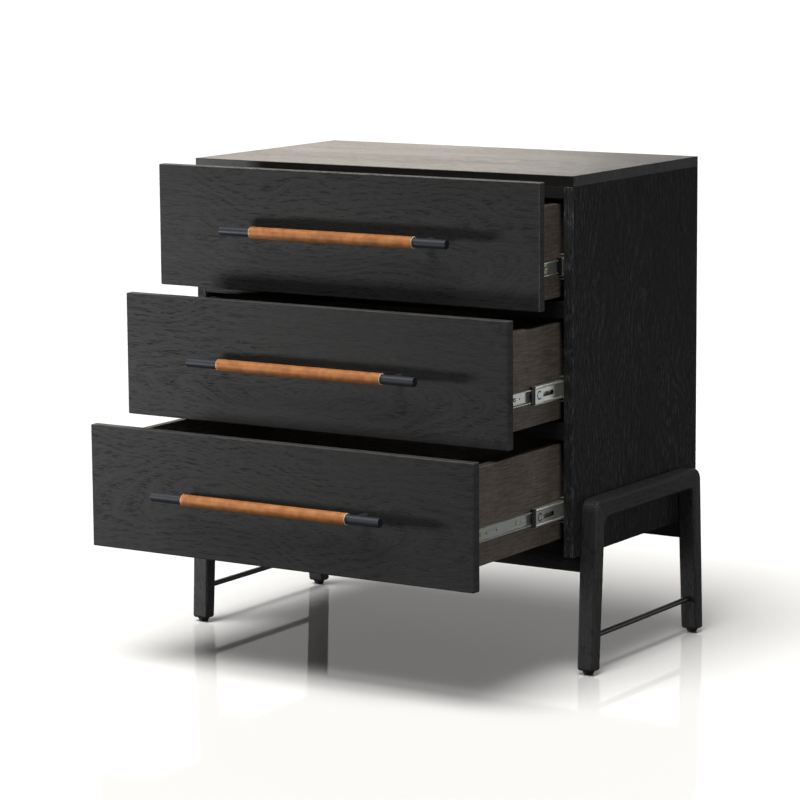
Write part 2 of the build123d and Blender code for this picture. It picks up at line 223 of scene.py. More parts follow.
# Stained oak: almost black and matt, with a broken, brushed look where the pores drink the light.
def black_oak(name, grain, across, middle, seed, base="272727", pore_tone_and_glint="0b0b0c", rough=0.62,
              shine=0.22, relief=1.0, contrast=1.0, edge=1.0, arris_highlight=1.0, rings=0.5):
    """Oak veneer with its grain along one axis and its rings across another.

    relief and contrast are how deep and how strong the pores are, rings how strong the growth lines. Both
    take the pore colour, which is pale on the side panels: a painted highlight.
    The edge and arris factors multiply the tone of the thin edges and of the bevels: painted light above
    one, painted shade below.
    """
    material, tree = start_material(name)
    place = add(tree, "ShaderNodeTexCoord").outputs["Object"]
    place = add(tree, "ShaderNodeVectorMath", {0: place, 1: middle}, operation="SUBTRACT").outputs[0]
    split = add(tree, "ShaderNodeSeparateXYZ", {0: place})
    deep = ({"X", "Y", "Z"} - {grain, across}).pop()
    own_axes = add(tree, "ShaderNodeCombineXYZ", {"X": split.outputs[grain], "Y": split.outputs[deep],
                   "Z": split.outputs[across]}).outputs[0]

    def noise_at(stretch, detail, shift):
        """Noise on the board's own axes: stretch is along, into and across the grain, per metre."""
        scaled = add(tree, "ShaderNodeVectorMath", {0: own_axes, 1: stretch}, operation="MULTIPLY")
        return add(tree, "ShaderNodeTexNoise", {"Vector": scaled.outputs[0], "W": seed + shift,
                   "Scale": 1.0, "Detail": detail}, noise_dimensions="4D").outputs["Fac"]

    def maths(operation, first, second=0.0):
        """One sum, product or comparison of two values."""
        return add(tree, "ShaderNodeMath", {0: first, 1: second}, operation=operation).outputs[0]

    def fit(value, low, high, to_low=0.0, to_high=1.0):
        """Spread a value's range smoothly over a new one."""
        return add(tree, "ShaderNodeMapRange", {"Value": value, "From Min": low, "From Max": high,
                   "To Min": to_low, "To Max": to_high}, interpolation_type="SMOOTHSTEP").outputs[0]

    # The distance from the tree's heart, which leans away along the board and so draws arches.
    wander = fit(noise_at((3.0, 2.0, 5.0), 2.0, 0), 0.2, 0.8, -0.05, 0.05)
    heart = maths("ADD", split.outputs[across], wander)
    along = maths("ABSOLUTE", maths("ADD", split.outputs[grain], 0.05))
    distance = maths("ADD", maths("MULTIPLY", along, 0.16), 0.01)
    ring = maths("SQRT", maths("ADD", maths("MULTIPLY", heart, heart),
                 maths("MULTIPLY", distance, distance)))
    ring = maths("ADD", ring, fit(noise_at((6.0, 6.0, 24.0), 2.0, 23), 0.25, 0.75, -0.002, 0.002))
    phase = maths("FRACT", maths("DIVIDE", ring, pore_band))
    growth = fit(maths("FRACT", maths("DIVIDE", ring, growth_line)), 0.45, 0.95)
    growth = maths("MULTIPLY", growth, fit(noise_at((34.0, 200.0, 260.0), 2.0, 29), 0.35, 0.6))
    early = maths("MULTIPLY", fit(phase, 0.0, 0.18), fit(phase, 0.85, 0.40))
    # Long pores, crowded early in each band and patchy over the board, and finer ones all over.
    patch = fit(noise_at((2.2, 3.0, 9.0), 1.0, 3), 0.36, 0.56)
    pores = fit(noise_at((70.0, 620.0, 820.0), 2.0, 7), 0.50, 0.58)
    fine = fit(noise_at((110.0, 1300.0, 1500.0), 2.0, 11), 0.50, 0.62)
    crowd = maths("ADD", maths("MULTIPLY", early, 0.75), 0.25)
    patchy = maths("ADD", maths("MULTIPLY", patch, 0.5), 0.5)
    holes = maths("MULTIPLY", maths("MULTIPLY", pores, crowd), patchy)
    holes = maths("MAXIMUM", maths("MULTIPLY", holes, 0.85), maths("MULTIPLY", fine, 0.3))
    holes = maths("MULTIPLY", maths("MAXIMUM", holes, maths("MULTIPLY", growth, rings)), contrast)
    streak = noise_at((4.0, 420.0, 380.0), 3.0, 17)
    tone = add(tree, "ShaderNodeMix", {"Factor": holes, "A": colour(base), "B": colour(pore_tone_and_glint)},
               data_type="RGBA")
    # Painted light and shade: the thin edges and the bevels have a factor of their own on the tone, above
    # one for painted light, below one for painted shade; the true normal tells them apart.
    lift = fit(streak, 0.3, 0.7, 0.86, 1.14)
    normal = add(tree, "ShaderNodeNewGeometry").outputs["True Normal"]
    sides = add(tree, "ShaderNodeSeparateXYZ", {0: normal})
    on_edge = maths("LESS_THAN", maths("ABSOLUTE", sides.outputs[deep]), 0.7)
    lift = maths("MULTIPLY", lift, maths("ADD", maths("MULTIPLY", on_edge, edge - 1.0), 1.0))
    across_x, across_y, across_z = [maths("ABSOLUTE", sides.outputs[i]) for i in range(3)]
    squareness = maths("MAXIMUM", maths("MAXIMUM", across_x, across_y), across_z)
    on_arris = maths("LESS_THAN", squareness, 0.93)
    lift = maths("MULTIPLY", lift, maths("ADD", maths("MULTIPLY", on_arris, arris_highlight - 1.0), 1.0))
    shade = add(tree, "ShaderNodeHueSaturation", {"Color": tone.outputs["Result"], "Value": lift})
    height = maths("SUBTRACT", maths("MULTIPLY", streak, 0.25), holes)
    bump = add(tree, "ShaderNodeBump", {"Height": height, "Strength": 0.45 * relief,
               "Distance": pore_depth})
    dull = maths("ADD", fit(holes, 0.0, 1.0, rough, rough + 0.15), fit(streak, 0.3, 0.7, -0.05, 0.05))
    finish_material(tree, {"Base Color": shade.outputs[0], "Normal": bump.outputs[0],
                           "Roughness": dull, "Specular IOR Level": shine})
    return material


print("pores crowd every", pore_band / mm, "mm, growth lines come every", growth_line / mm, "mm")

# %% [markdown]
# Each front is cut from its own piece of veneer, so each has its own arches and its own seed. Its
# heart line lies a little below its middle. Its thin edges are painted paler than its face and its
# bevels brighter: painted light, with the strongest painted highlight on the top front's bevels.


# %% Drawer fronts
def middle_of(node):
    """The centre of a CAD node's box."""
    low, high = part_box(node)
    return tuple((a + b) / 2 for a, b in zip(low, high))


def dress(node, material):
    """Give a carried-over CAD node its material."""
    mesh = nodes[node].data
    mesh.materials.clear()
    mesh.materials.append(material)


heart_drop = 22 * mm   # the arches open a little below the middle of each front
for seed, drawer in enumerate(drawers):
    node = f"{drawer}_drawer_front"
    x, y, z = middle_of(node)
    # Painted highlight on the bevels, strongest on the top front; painted light on the thin edges.
    arris_highlight = 4.5 if drawer == "top" else 1.7
    dress(node, black_oak(f"oak_front_{drawer}", "X", "Z", (x, y, z - heart_drop), 3.7 * seed,
                          edge=2.4, arris_highlight=arris_highlight))
print("fronts", [nodes[f"{drawer}_drawer_front"].data.materials[0].name for drawer in drawers])

# %% [markdown]
# The rest of the chest is cut from the same veneer, but each board turns it another way: along
# the width on the top, upright on the sides, and along the length of every leg and rail. The
# top carries a slightly closer lacquer, and that is what picks up the pale wall. A maker takes
# every sharp edge off with a stroke of sandpaper, so a Bevel modifier puts a narrow facet along
# the edges of the top and sides, and it catches a line of light. On the sides a painted highlight brightens
# that line.

# %% The other boards
# Painted shade: the top's thin edges are darkened by the edge factor.
dress("top_slab", black_oak("oak_top", "X", "Y", middle_of("top_slab"), 21.0, base="262422",
                            rough=0.44, shine=0.36, relief=1.8, edge=0.6))
for side, seed in (("left", 31.0), ("right", 34.0)):
    node = f"{side}_side_panel"
    # Painted light and shade: the sides get a darker base than the fronts, pale pores and growth lines
    # standing for glints of sheen in the grain, and a painted highlight on their bevels.
    dress(node, black_oak(f"oak_{side}_side", "Z", "Y", middle_of(node), seed, base="232324",
                          pore_tone_and_glint="565658", contrast=0.9, arris_highlight=2.5, shine=0.06, rings=0.12))
dress("back_panel", black_oak("oak_back", "Z", "X", middle_of("back_panel"), 41.0, base="222223"))
level_boards = black_oak("oak_rails", "X", "Z", (0.4, 0, 0), 47.0, base="1f1f20")
for node in ("bottom_panel", "top_rail", "upper_divider_rail", "lower_divider_rail",
             "front_cross_rail", "rear_cross_rail"):
    dress(node, level_boards)
# Painted light: the legs and frame rails get a paler base than the rest of the same oak; painted shade: the
# legs' front and back faces are darkened by the edge factor.
legs = black_oak("oak_legs", "Z", "Y", (0, 0.3, 0), 53.0, base="414142", pore_tone_and_glint="262627", rough=0.55,
                 edge=0.6)
arms = black_oak("oak_frame_rails", "Y", "Z", (0, 0.5, 0), 59.0, base="2c2c2d", pore_tone_and_glint="1a1a1b", rough=0.5)
for side in ("left", "right"):
    dress(f"{side}_frame_rail", arms)
    for place in ("front", "rear"):
        dress(f"{side}_{place}_leg", legs)
for node in ("top_slab", "left_side_panel", "right_side_panel"):
    broken = nodes[node].modifiers.new("broken_edges", "BEVEL")
    broken.width = 0.9 * mm
    broken.segments = 2
    broken.limit_method = "ANGLE"
    broken.angle_limit = radians(60)
print("oak finishes", len([m for m in bpy.data.materials if m.name.startswith("oak")]))

# %% [markdown]
# The drawer boxes are board faced with a taupe foil, printed and embossed like coarse linen.
# Linen is two sets of threads of uneven thickness, so the pattern is the sum of two noises, one
# stretched level and one stretched upright. Real threads are about half a millimetre apart:
# they are drawn at about one and a half, so that they still read when the whole chest is seen.


# %% Linen foil
thread_pitch = 1.4 * mm


# Embossed foil: a soft, dry, cloth-like taupe; its upward faces are darkened as painted shade.
def linen_foil(name, level_axis):
    """Embossed linen foil, its longer threads along one axis."""
    material, tree = start_material(name)
    place = add(tree, "ShaderNodeTexCoord").outputs["Object"]
    fine = 1 / thread_pitch
    stretch = {"X": (32.0, fine, fine), "Y": (fine, 32.0, fine)}[level_axis]
    upright = (fine, fine, 40.0)
    threads = []
    for scale, shift in ((stretch, 0.0), (upright, 9.0)):
        scaled = add(tree, "ShaderNodeVectorMath", {0: place, 1: scale}, operation="MULTIPLY")
        threads.append(add(tree, "ShaderNodeTexNoise", {"Vector": scaled.outputs[0], "W": shift,
                       "Scale": 1.0, "Detail": 1.0}, noise_dimensions="4D").outputs["Fac"])
    weave = add(tree, "ShaderNodeMath", {0: threads[1], 1: 0.45, 2: threads[0]}, operation="MULTIPLY_ADD")
    fac = add(tree, "ShaderNodeMapRange", {"Value": weave.outputs[0], "From Min": 0.5,
              "From Max": 0.95}).outputs[0]
    tone = add(tree, "ShaderNodeMix", {"Factor": fac, "A": colour("504841"), "B": colour("7d736a")},
               data_type="RGBA")
    # Painted shade: faces that look upward are darkened to about a fifth of the foil's tone.
    normal = add(tree, "ShaderNodeNewGeometry").outputs["True Normal"]
    upward = add(tree, "ShaderNodeSeparateXYZ", {0: normal}).outputs["Z"]
    rim = add(tree, "ShaderNodeMapRange", {"Value": upward, "From Min": 0.5, "From Max": 0.9, "To Min": 1.0,
              "To Max": 0.22}).outputs[0]
    painted_top_shade = add(tree, "ShaderNodeHueSaturation", {"Color": tone.outputs["Result"], "Value": rim})
    bump = add(tree, "ShaderNodeBump", {"Height": fac, "Strength": 0.4, "Distance": 0.1 * mm})
    finish_material(tree, {"Base Color": painted_top_shade.outputs[0], "Roughness": 0.6,
                           "Normal": bump.outputs[0], "Specular IOR Level": 0.25})
    return material


side_foil = linen_foil("linen_foil_sides", "Y")
end_foil = linen_foil("linen_foil_ends", "X")
for drawer in drawers:
    for part in ("left_side", "right_side"):
        dress(f"{drawer}_drawer_{part}", side_foil)
    for part in ("inner_front", "back", "bottom"):
        dress(f"{drawer}_drawer_{part}", end_foil)
print("foils", side_foil.name, end_foil.name)


# %% [markdown]
# The hardware has several finishes, and all of them are one recipe: a tone, a roughness and a
# fine skin that vary together with a noise. Rolled steel strip has that noise drawn out into
# lines along the roll; paint, nylon and rubber have it as round spots, about a millimetre across
# and so coarser than the real ones, which would not show.


# %% Metal, nylon and rubber
def skin(name, tone, rough, metallic, lines=None, dent=0.0, spots=700.0, dark=0.86):
    """A finish whose roughness, tone and skin vary a little, along drawn lines or as spots."""
    material, tree = start_material(name)
    place = add(tree, "ShaderNodeTexCoord").outputs["Object"]
    scaled = add(tree, "ShaderNodeVectorMath", {0: place, 1: lines or (spots, spots, spots)},
                 operation="MULTIPLY")
    grain = add(tree, "ShaderNodeTexNoise", {"Vector": scaled.outputs[0], "Scale": 1.0, "Detail": 3.0})
    fac = grain.outputs["Fac"]
    rough_out = add(tree, "ShaderNodeMapRange", {"Value": fac, "To Min": rough - 0.07,
                    "To Max": rough + 0.09})
    base = colour(tone)
    low = tuple(c * dark for c in base[:3]) + (1.0,)
    tint = add(tree, "ShaderNodeMix", {"Factor": fac, "A": low, "B": base}, data_type="RGBA")
    bump = add(tree, "ShaderNodeBump", {"Height": fac, "Strength": 0.3, "Distance": dent})
    finish_material(tree, {"Base Color": tint.outputs["Result"], "Metallic": metallic,
                           "Roughness": rough_out.outputs[0], "Normal": bump.outputs[0]})
    return material


# Zinc plate on rolled strip: a bright cool grey, streaked along the slide.
zinc = skin("bright_zinc_plate", "d0d3ca", 0.32, 0.65, lines=(900, 25, 900), dent=0.02 * mm, dark=0.45)
# Yellow passivated zinc: a warm pale glint on every screw head.
yellow_zinc = skin("yellow_passivated_zinc", "e8d6a6", 0.34, 0.45, dent=0.02 * mm)
# Baked powder coat: dark blue-grey, its highlight broken up by a fine orange peel.
powder = skin("blue_black_powder_coat", "33363d", 0.38, 0.3, dent=0.03 * mm, spots=1500.0)
# The same coat in black on the rods: neutral, with a thin soft line of light.
rod_coat = skin("black_powder_coat", "1c1c1d", 0.4, 0.0, dent=0.03 * mm, spots=1500.0)
# Ground and polished balls: points of light.
ball_steel = skin("polished_ball_steel", "d8d8d8", 0.12, 1.0)
# Moulded nylon: black, with a dull even gleam on its corners.
nylon = skin("moulded_black_nylon", "0e0e0f", 0.45, 0.0, dent=0.05 * mm, spots=900.0)
# Moulded rubber: black with hardly a highlight.
rubber = skin("dark_rubber", "101011", 0.62, 0.0, dent=0.05 * mm, spots=900.0)
# A clear soft pad on a dark board: a grey dot with a slight shine.
bumper = skin("soft_clear_bumper", "3c3c3c", 0.4, 0.0, dent=0.02 * mm)
# Painted shade: a dark ring on the bright channel, standing for the shade in a pressed groove.
pressed_ring_shade_paint = skin("painted_shade_in_pressed_ring", "2a2a2a", 0.5, 0.6, dent=0.02 * mm)

for drawer in drawers:
    for part in ("drawer_slides", "middle_slides"):
        dress(f"{drawer}_{part}", zinc)
    for part in ("handle_bar", "handle_posts"):
        dress(f"{drawer}_{part}", powder)
for node in ("left_cabinet_slides", "right_cabinet_slides"):
    dress(node, zinc)
for node in ("left_stretcher", "right_stretcher"):
    dress(node, rod_coat)
dress("front_bumpers", bumper)
print("hardware finishes", [m.name for m in (zinc, yellow_zinc, powder, rod_coat, nylon, rubber)])

# %% [markdown]
# The small round pieces are turned: a profile of radius and height, spun round an axis, with a
# point where the profile meets the axis so that nothing is left open. A ring may have its own
# outline, which is how a cross recess is sunk into a screw head. Long pieces of one section are
# extruded. Both give plain lists of corners and faces, so that any number of them join in one mesh.


# %% Helpers for turned and extruded pieces
def turned(profile, segments=32, outlines=None):
    """Vertices and faces of a closed piece spun round Z. outlines: {ring: radius at an angle}."""
    verts, faces, rings = [], [], []
    for i, (radius, height) in enumerate(profile):
        if radius == 0:
            rings.append([len(verts)])
            verts.append((0.0, 0.0, height))
            continue
        start = len(verts)
        for k in range(segments):
            angle = 2 * pi * k / segments
            r = (outlines or {}).get(i, lambda a, given: given)(angle, radius)
            verts.append((r * cos(angle), r * sin(angle), height))
        rings.append(list(range(start, start + segments)))
    for low, high in zip(rings, rings[1:]):
        for k in range(segments):
            following = (k + 1) % segments
            if len(low) == 1:
                faces.append((low[0], high[k], high[following]))
            elif len(high) == 1:
                faces.append((low[k], low[following], high[0]))
            else:
                faces.append((low[k], low[following], high[following], high[k]))
    return verts, faces


def extruded(section, start, end, mirror=1):
    """A closed bar along Y whose section is drawn in x and z. mirror=-1 flips it to the left."""
    count = len(section)
    verts = [(mirror * x, y, z) for y in (start, end) for x, z in section]
    faces = [tuple(range(count)), tuple(range(2 * count - 1, count - 1, -1))]
    faces += [(k, (k + 1) % count, (k + 1) % count + count, k + count) for k in range(count)]
    return verts, faces


def build(name, shells, material, smooth=True, bevel=0.0):
    """One mesh from several closed shells, with its faces outward."""
    mesh = bpy.data.meshes.new(name)
    work = bmesh.new()
    for verts, faces in shells:
        made = [work.verts.new(v) for v in verts]
        for face in faces:
            work.faces.new([made[i] for i in face])
    if bevel:
        sharp = [e for e in work.edges if e.calc_face_angle(0.0) > radians(50)]
        bmesh.ops.bevel(work, geom=sharp, offset=bevel, segments=2, affect="EDGES", profile=0.6)
    bmesh.ops.recalc_face_normals(work, faces=work.faces)
    for face in work.faces:
        face.smooth = smooth
    work.to_mesh(mesh)
    work.free()
    mesh.materials.append(material)
    piece = bpy.data.objects.new(name, mesh)
    bpy.context.collection.objects.link(piece)
    return piece


print("a plain turned disc has", len(turned([(0, 0), (1, 0), (1, 1), (0, 1)])[1]), "faces")

# %% [markdown]
# Screws, balls and stitches repeat, so a Geometry Nodes tree sets them out. Its points carry
# two attributes: where the piece faces, and its size. The tree turns the piece's Z axis that
# way, spins it a random amount about it, and turns all the copies into real mesh.

# %% Setting-out tree
scatter = bpy.data.node_groups.new("pieces_on_points", "GeometryNodeTree")
for name, kind in (("Points", "Geometry"), ("Piece", "Object"), ("Spin", "Float"), ("Seed", "Int"),
                   ("Finish", "Material")):
    scatter.interface.new_socket(name, in_out="INPUT", socket_type=f"NodeSocket{kind}")
scatter.interface.new_socket("Pieces", in_out="OUTPUT", socket_type="NodeSocketGeometry")
given = add(scatter, "NodeGroupInput").outputs
facing = add(scatter, "GeometryNodeInputNamedAttribute", {"Name": "facing"}, data_type="FLOAT_VECTOR")
size = add(scatter, "GeometryNodeInputNamedAttribute", {"Name": "size"}, data_type="FLOAT")
aimed = add(scatter, "FunctionNodeAlignRotationToVector", {"Vector": facing.outputs["Attribute"]})
chance = add(scatter, "FunctionNodeRandomValue", {2: 0.0, 3: given["Spin"], 8: given["Seed"]},
             data_type="FLOAT").outputs[1]
about = add(scatter, "ShaderNodeCombineXYZ", {"Z": chance})
twist = add(scatter, "FunctionNodeEulerToRotation", {"Euler": about.outputs[0]})
faced = add(scatter, "FunctionNodeRotateRotation", {"Rotation": aimed.outputs[0],
            "Rotate By": twist.outputs[0]}, rotation_space="LOCAL")
template = add(scatter, "GeometryNodeObjectInfo", {"Object": given["Piece"]})
copies = add(scatter, "GeometryNodeInstanceOnPoints", {"Points": given["Points"],
             "Instance": template.outputs["Geometry"], "Rotation": faced.outputs[0],
             "Scale": size.outputs["Attribute"]})
real = add(scatter, "GeometryNodeRealizeInstances", {"Geometry": copies.outputs[0]})
finished = add(scatter, "GeometryNodeSetMaterial", {"Geometry": real.outputs[0],
               "Material": given["Finish"]})
add(scatter, "NodeGroupOutput", {"Pieces": finished.outputs[0]})
print("setting-out tree", len(scatter.nodes), "nodes")

# %% [markdown]
# To use the tree, a mesh of bare points gets the two attributes, and the tree as a modifier. The
# modifier's inputs are set by their identifiers, before the mesh is first evaluated. The result
# is kept as a plain mesh and the modifier goes, because a finished piece has to stand by itself.

# %% Setting pieces out
print("inputs", [i.name for i in scatter.interface.items_tree if i.in_out == "INPUT"])


def set_out(name, places, shell, material, spin=0.0, seed=1):
    """A mesh of copies of one closed shell. places: (point, facing, size)."""
    pattern = build(f"{name}_pattern", [shell], material)
    mesh = bpy.data.meshes.new(name)
    mesh.from_pydata([p for p, _, _ in places], [], [])
    aims = mesh.attributes.new("facing", "FLOAT_VECTOR", "POINT")
    aims.data.foreach_set("vector", [c for _, aim, _ in places for c in aim])
    sizes = mesh.attributes.new("size", "FLOAT", "POINT")
    sizes.data.foreach_set("value", [scale for _, _, scale in places])
    piece = bpy.data.objects.new(name, mesh)
    bpy.context.collection.objects.link(piece)
    live = piece.modifiers.new("set_out", "NODES")
    live.node_group = scatter
    sockets = {i.name: i.identifier for i in scatter.interface.items_tree if i.in_out == "INPUT"}
    for label, value in (("Piece", pattern), ("Spin", spin), ("Seed", seed), ("Finish", material)):
        live[sockets[label]] = value
    ready = piece.evaluated_get(bpy.context.evaluated_depsgraph_get())
    piece.data = bpy.data.meshes.new_from_object(ready)
    piece.modifiers.clear()
    piece.data.name = name
    bpy.data.objects.remove(pattern)
    print(name, len(places), "copies,", len(piece.data.polygons), "faces")
    return piece


# %% [markdown]
# A pan-head screw is a low dome with a rolled shoulder and a cross recess with sloping walls.
# Each fixing screw that CAD holds as a plain cylinder is replaced by one of these, at the same
# place. Screws stop at any angle, so each is spun by chance.


# %% Screw and its recess
arm_half = 0.36 * mm


def cross(angle, reach):
    """Radius of a cross outline whose arms are reach long and twice arm_half wide."""
    off = (angle + pi / 4) % (pi / 2) - pi / 4
    return min(reach / cos(off), arm_half / max(abs(sin(off)), 1e-6))


def in_metres(profile):
    """A profile drawn in millimetres, in metres."""
    return [(r * mm, z * mm) for r, z in profile]


head = in_metres([(0, -11.9), (1.2, -11.6), (1.9, -9.8), (1.9, -0.01), (3.4, 0.0), (3.6, 0.18),
                  (3.6, 0.75), (3.45, 1.25), (3.05, 1.65), (2.45, 1.92), (1.95, 2.0), (1.75, 1.9),
                  (1.1, 0.9), (0, 0.75)])
recess = {len(head) - 3: cross, len(head) - 2: cross}
screw = turned(head, 32, recess)
print("pan-head screw", len(screw[1]), "faces")

# %% [markdown]
# Three screws a side fix each drawer to its slides, and two come through the box into the
# handle posts. Their places are written from the rear face of each drawer front, so that one
# list serves all three drawers.

# %% Drawer screws
front_back = {"bottom": -337, "middle": -231, "top": -131}          # rear face of each front, along Y
slide_z = {"bottom": 281.0, "middle": 484.5, "top": 688.0}          # middle of each slide
handle_z = {"bottom": 304.85, "middle": 518.05, "top": 731.25}      # axis of each handle bar
slide_seat, slide_screw_y = 351.5, (51, 163, 355)
post_x, box_front = 176, 15
for seed, drawer in enumerate(drawers):
    back = front_back[drawer]
    places = [(Vector((side * slide_seat, back + along, slide_z[drawer])) * mm, (side, 0, 0), 1.0)
              for side in (-1, 1) for along in slide_screw_y]
    places += [(Vector((x, back + box_front, handle_z[drawer])) * mm, (0, 1, 0), 1.0)
               for x in (-post_x, post_x)]
    screws = set_out(f"{drawer}_pan_screws", places, screw, yellow_zinc, spin=2 * pi, seed=seed + 3)
    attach(screws, f"{drawer}_drawer")
    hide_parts(f"{drawer}_drawer_screws")

# %% [markdown]
# The outer channels are screwed to the cabinet from inside. The drawer's own channel passes
# close over these heads, so they are flatter: the same profile with its height scaled down.

# %% Cabinet screws
cabinet_seat, cabinet_screw_y = 361.8, (-3, 317)
low_head = [(r, z * 0.6 if z > 0 else z * 0.9) for r, z in head]
flat_screw = turned(low_head, 32, recess)
places = [(Vector((side * cabinet_seat, y, z)) * mm, (-side, 0, 0), 1.0)
          for side in (-1, 1) for z in slide_z.values() for y in cabinet_screw_y]
screws = set_out("cabinet_pan_screws", places, flat_screw, yellow_zinc, spin=2 * pi, seed=9)
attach(screws, "cabinet")
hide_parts("cabinet_slide_screws")

# %% [markdown]
# The leg frames are drawn up with socket bolts through the sides. A bolt is turned like a
# screw, but the rings of its socket are six-sided. Its places are measured from the plain
# cylinders of the CAD model: two groups of corners, in front of and behind the middle.

# %% Frame bolts
corner_y = sorted({round(v.co.y, 4) for v in nodes["frame_bolts"].data.vertices})
between = 0.17
front_group = [y for y in corner_y if y < between]
rear_group = [y for y in corner_y if y > between]
bolt_y = [sum(group) / len(group) for group in (front_group, rear_group)]
bolt_seat, bolt_z = 0.363, 0.230
socket = in_metres([(0, -11), (3.2, -10.6), (3.9, -9.9), (3.9, -0.01), (5.6, 0), (6.0, 0.3),
                    (6.0, 2.6), (5.6, 3.2), (4.8, 3.5), (2.9, 3.5), (2.7, 3.3), (2.6, 1.2), (0, 1.0)])


def six_sided(angle, reach):
    """Radius of a hexagon about as wide as a circle of this reach."""
    return reach / cos((angle + pi / 6) % (pi / 3) - pi / 6) * 0.93


bolt = turned(socket, 36, {9: six_sided, 10: six_sided, 11: six_sided})
places = [(Vector((side * bolt_seat, y, bolt_z)), (-side, 0, 0), 1.0) for side in (-1, 1) for y in bolt_y]
bolts = set_out("socket_bolts", places, bolt, zinc, spin=2 * pi, seed=5)
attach(bolts, "cabinet")
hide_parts("frame_bolts")

# %% [markdown]
# The back is held by small flat screws up both edges and along the bottom, which is how a maker
# would close a carcass of this kind. Their heads are nearly flush, with the same cross.

# %% Back screws
back_face = 0.399
flat_head = in_metres([(0, -5.0), (1.4, -4.4), (1.5, -0.2), (2.9, -0.1), (3.1, 0.1), (3.0, 0.35),
                       (2.2, 0.62), (1.8, 0.66), (1.7, 0.6), (0.9, 0.1), (0, 0.0)])
small = turned(flat_head, 28, {8: cross, 9: cross})
spots = [(x, z) for x in (-0.372, 0.372) for z in (0.26, 0.42, 0.58, 0.74)]
spots += [(x, 0.210) for x in (-0.25, -0.08, 0.08, 0.25)]
places = [((x, back_face, z), (0, 1, 0), 1.0) for x, z in spots]
back_screws = set_out("back_panel_screws", places, small, yellow_zinc, spin=2 * pi, seed=6)
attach(back_screws, "cabinet")

# %% [markdown]
# Each handle wears a sleeve of vegetable-tanned leather. It has two surfaces: the skin side,
# and the raw edge where it is cut. Both are noise on the object's own coordinates, because the
# sleeve is short and has no direction of its own. The pits of the skin are about a millimetre
# apart, coarser than on real leather, so that they break up the highlight.

# %% Leather
# The skin side: warm tan with slow darker clouds and a soft, pitted highlight.
leather, tree = start_material("tan_leather")
place = add(tree, "ShaderNodeTexCoord").outputs["Object"]
mottle = add(tree, "ShaderNodeTexNoise", {"Vector": place, "Scale": 70.0, "Detail": 4.0}).outputs["Fac"]
grain = add(tree, "ShaderNodeTexVoronoi", {"Vector": place, "Scale": 900.0}).outputs["Distance"]
cloud = add(tree, "ShaderNodeMapRange", {"Value": mottle, "From Min": 0.35, "From Max": 0.65})
tone = add(tree, "ShaderNodeMix", {"Factor": cloud.outputs[0], "A": colour("8f5527"),
           "B": colour("a96d38")}, data_type="RGBA")
pits = add(tree, "ShaderNodeBump", {"Height": grain, "Strength": 0.35, "Distance": 0.12 * mm})
finish_material(tree, {"Base Color": tone.outputs["Result"], "Roughness": 0.5, "Normal": pits.outputs[0],
                       "Specular IOR Level": 0.4})
# The cut edge: pale, dry and fibrous, with no highlight at all.
raw_edge, tree = start_material("raw_leather_edge")
place = add(tree, "ShaderNodeTexCoord").outputs["Object"]
fibre = add(tree, "ShaderNodeTexNoise", {"Vector": place, "Scale": 1500.0, "Detail": 3.0}).outputs["Fac"]
tone = add(tree, "ShaderNodeMix", {"Factor": fibre, "A": colour("d3b086"), "B": colour("efd9b8")},
           data_type="RGBA")
nap = add(tree, "ShaderNodeBump", {"Height": fibre, "Strength": 0.6, "Distance": 0.2 * mm})
finish_material(tree, {"Base Color": tone.outputs["Result"], "Roughness": 0.85, "Normal": nap.outputs[0]})
# Waxed thread: a tan line of its own beside the leather, matt and a little uneven.
thread = skin("waxed_tan_thread", "b07f4c", 0.6, 0.0, dent=0.05 * mm, spots=2500.0)
print("leather", leather.name, raw_edge.name, thread.name)

# %% [markdown]
# The leather is wrapped round the bar and sewn along its upper back. Where it is cut square at the
# ends it is slightly rounded. The piece is a tube with a thin wall, built ring by ring: its outer
# skin carries the shallow valley of the seam and a slow hand-made unevenness, its inner skin
# lies on the bar. Rings written out one by one give a dip that a plain cylinder can't.

# %% Sleeves
seam = radians(118)
skin_radius, bar_radius = 9.9, 8.06
bar_y = {"bottom": -389.0, "middle": -283.0, "top": -183.0}


def sleeve(name, y, z, seed):
    """A leather tube on the bar's axis, with rounded raw ends and a seam valley."""
    around, half = 56, 163.0
    stations = [-half, -half + 0.25, -half + 0.8]
    stations += [-half + 6 + (2 * half - 12) * i / 44 for i in range(45)]
    stations += [half - 0.8, half - 0.25, half]
    verts, faces = [], []
    for x in stations:
        round_off = 0.42 if abs(x) == half else 0.12 if half - abs(x) < 0.5 else 0.0
        for k in range(around):
            angle = 2 * pi * k / around
            off = (angle - seam + pi) % (2 * pi) - pi
            uneven = 0.09 * noise.noise(Vector((x * 0.05, 2 * cos(angle), 2 * sin(angle) + seed)))
            r = skin_radius - round_off + uneven
            r = r - 0.55 * exp(-(off / 0.06) ** 2) + 0.1 * exp(-(off / 0.22) ** 2)
            verts.append((x * mm, (y - r * cos(angle)) * mm, (z + r * sin(angle)) * mm))
    outer = len(stations)
    for x in (half, -half):
        for k in range(around):
            angle = 2 * pi * k / around
            verts.append((x * mm, (y - bar_radius * cos(angle)) * mm,
                          (z + bar_radius * sin(angle)) * mm))
    rows = [list(range(i * around, (i + 1) * around)) for i in range(outer + 2)]
    for first, second in zip(rows, rows[1:] + rows[:1]):
        for k in range(around):
            following = (k + 1) % around
            faces.append((first[k], first[following], second[following], second[k]))
    piece = build(name, [(verts, faces)], leather)
    piece.data.materials.append(raw_edge)
    for face in piece.data.polygons:
        if abs(face.normal.x) > 0.2:
            face.material_index = 1
    return piece


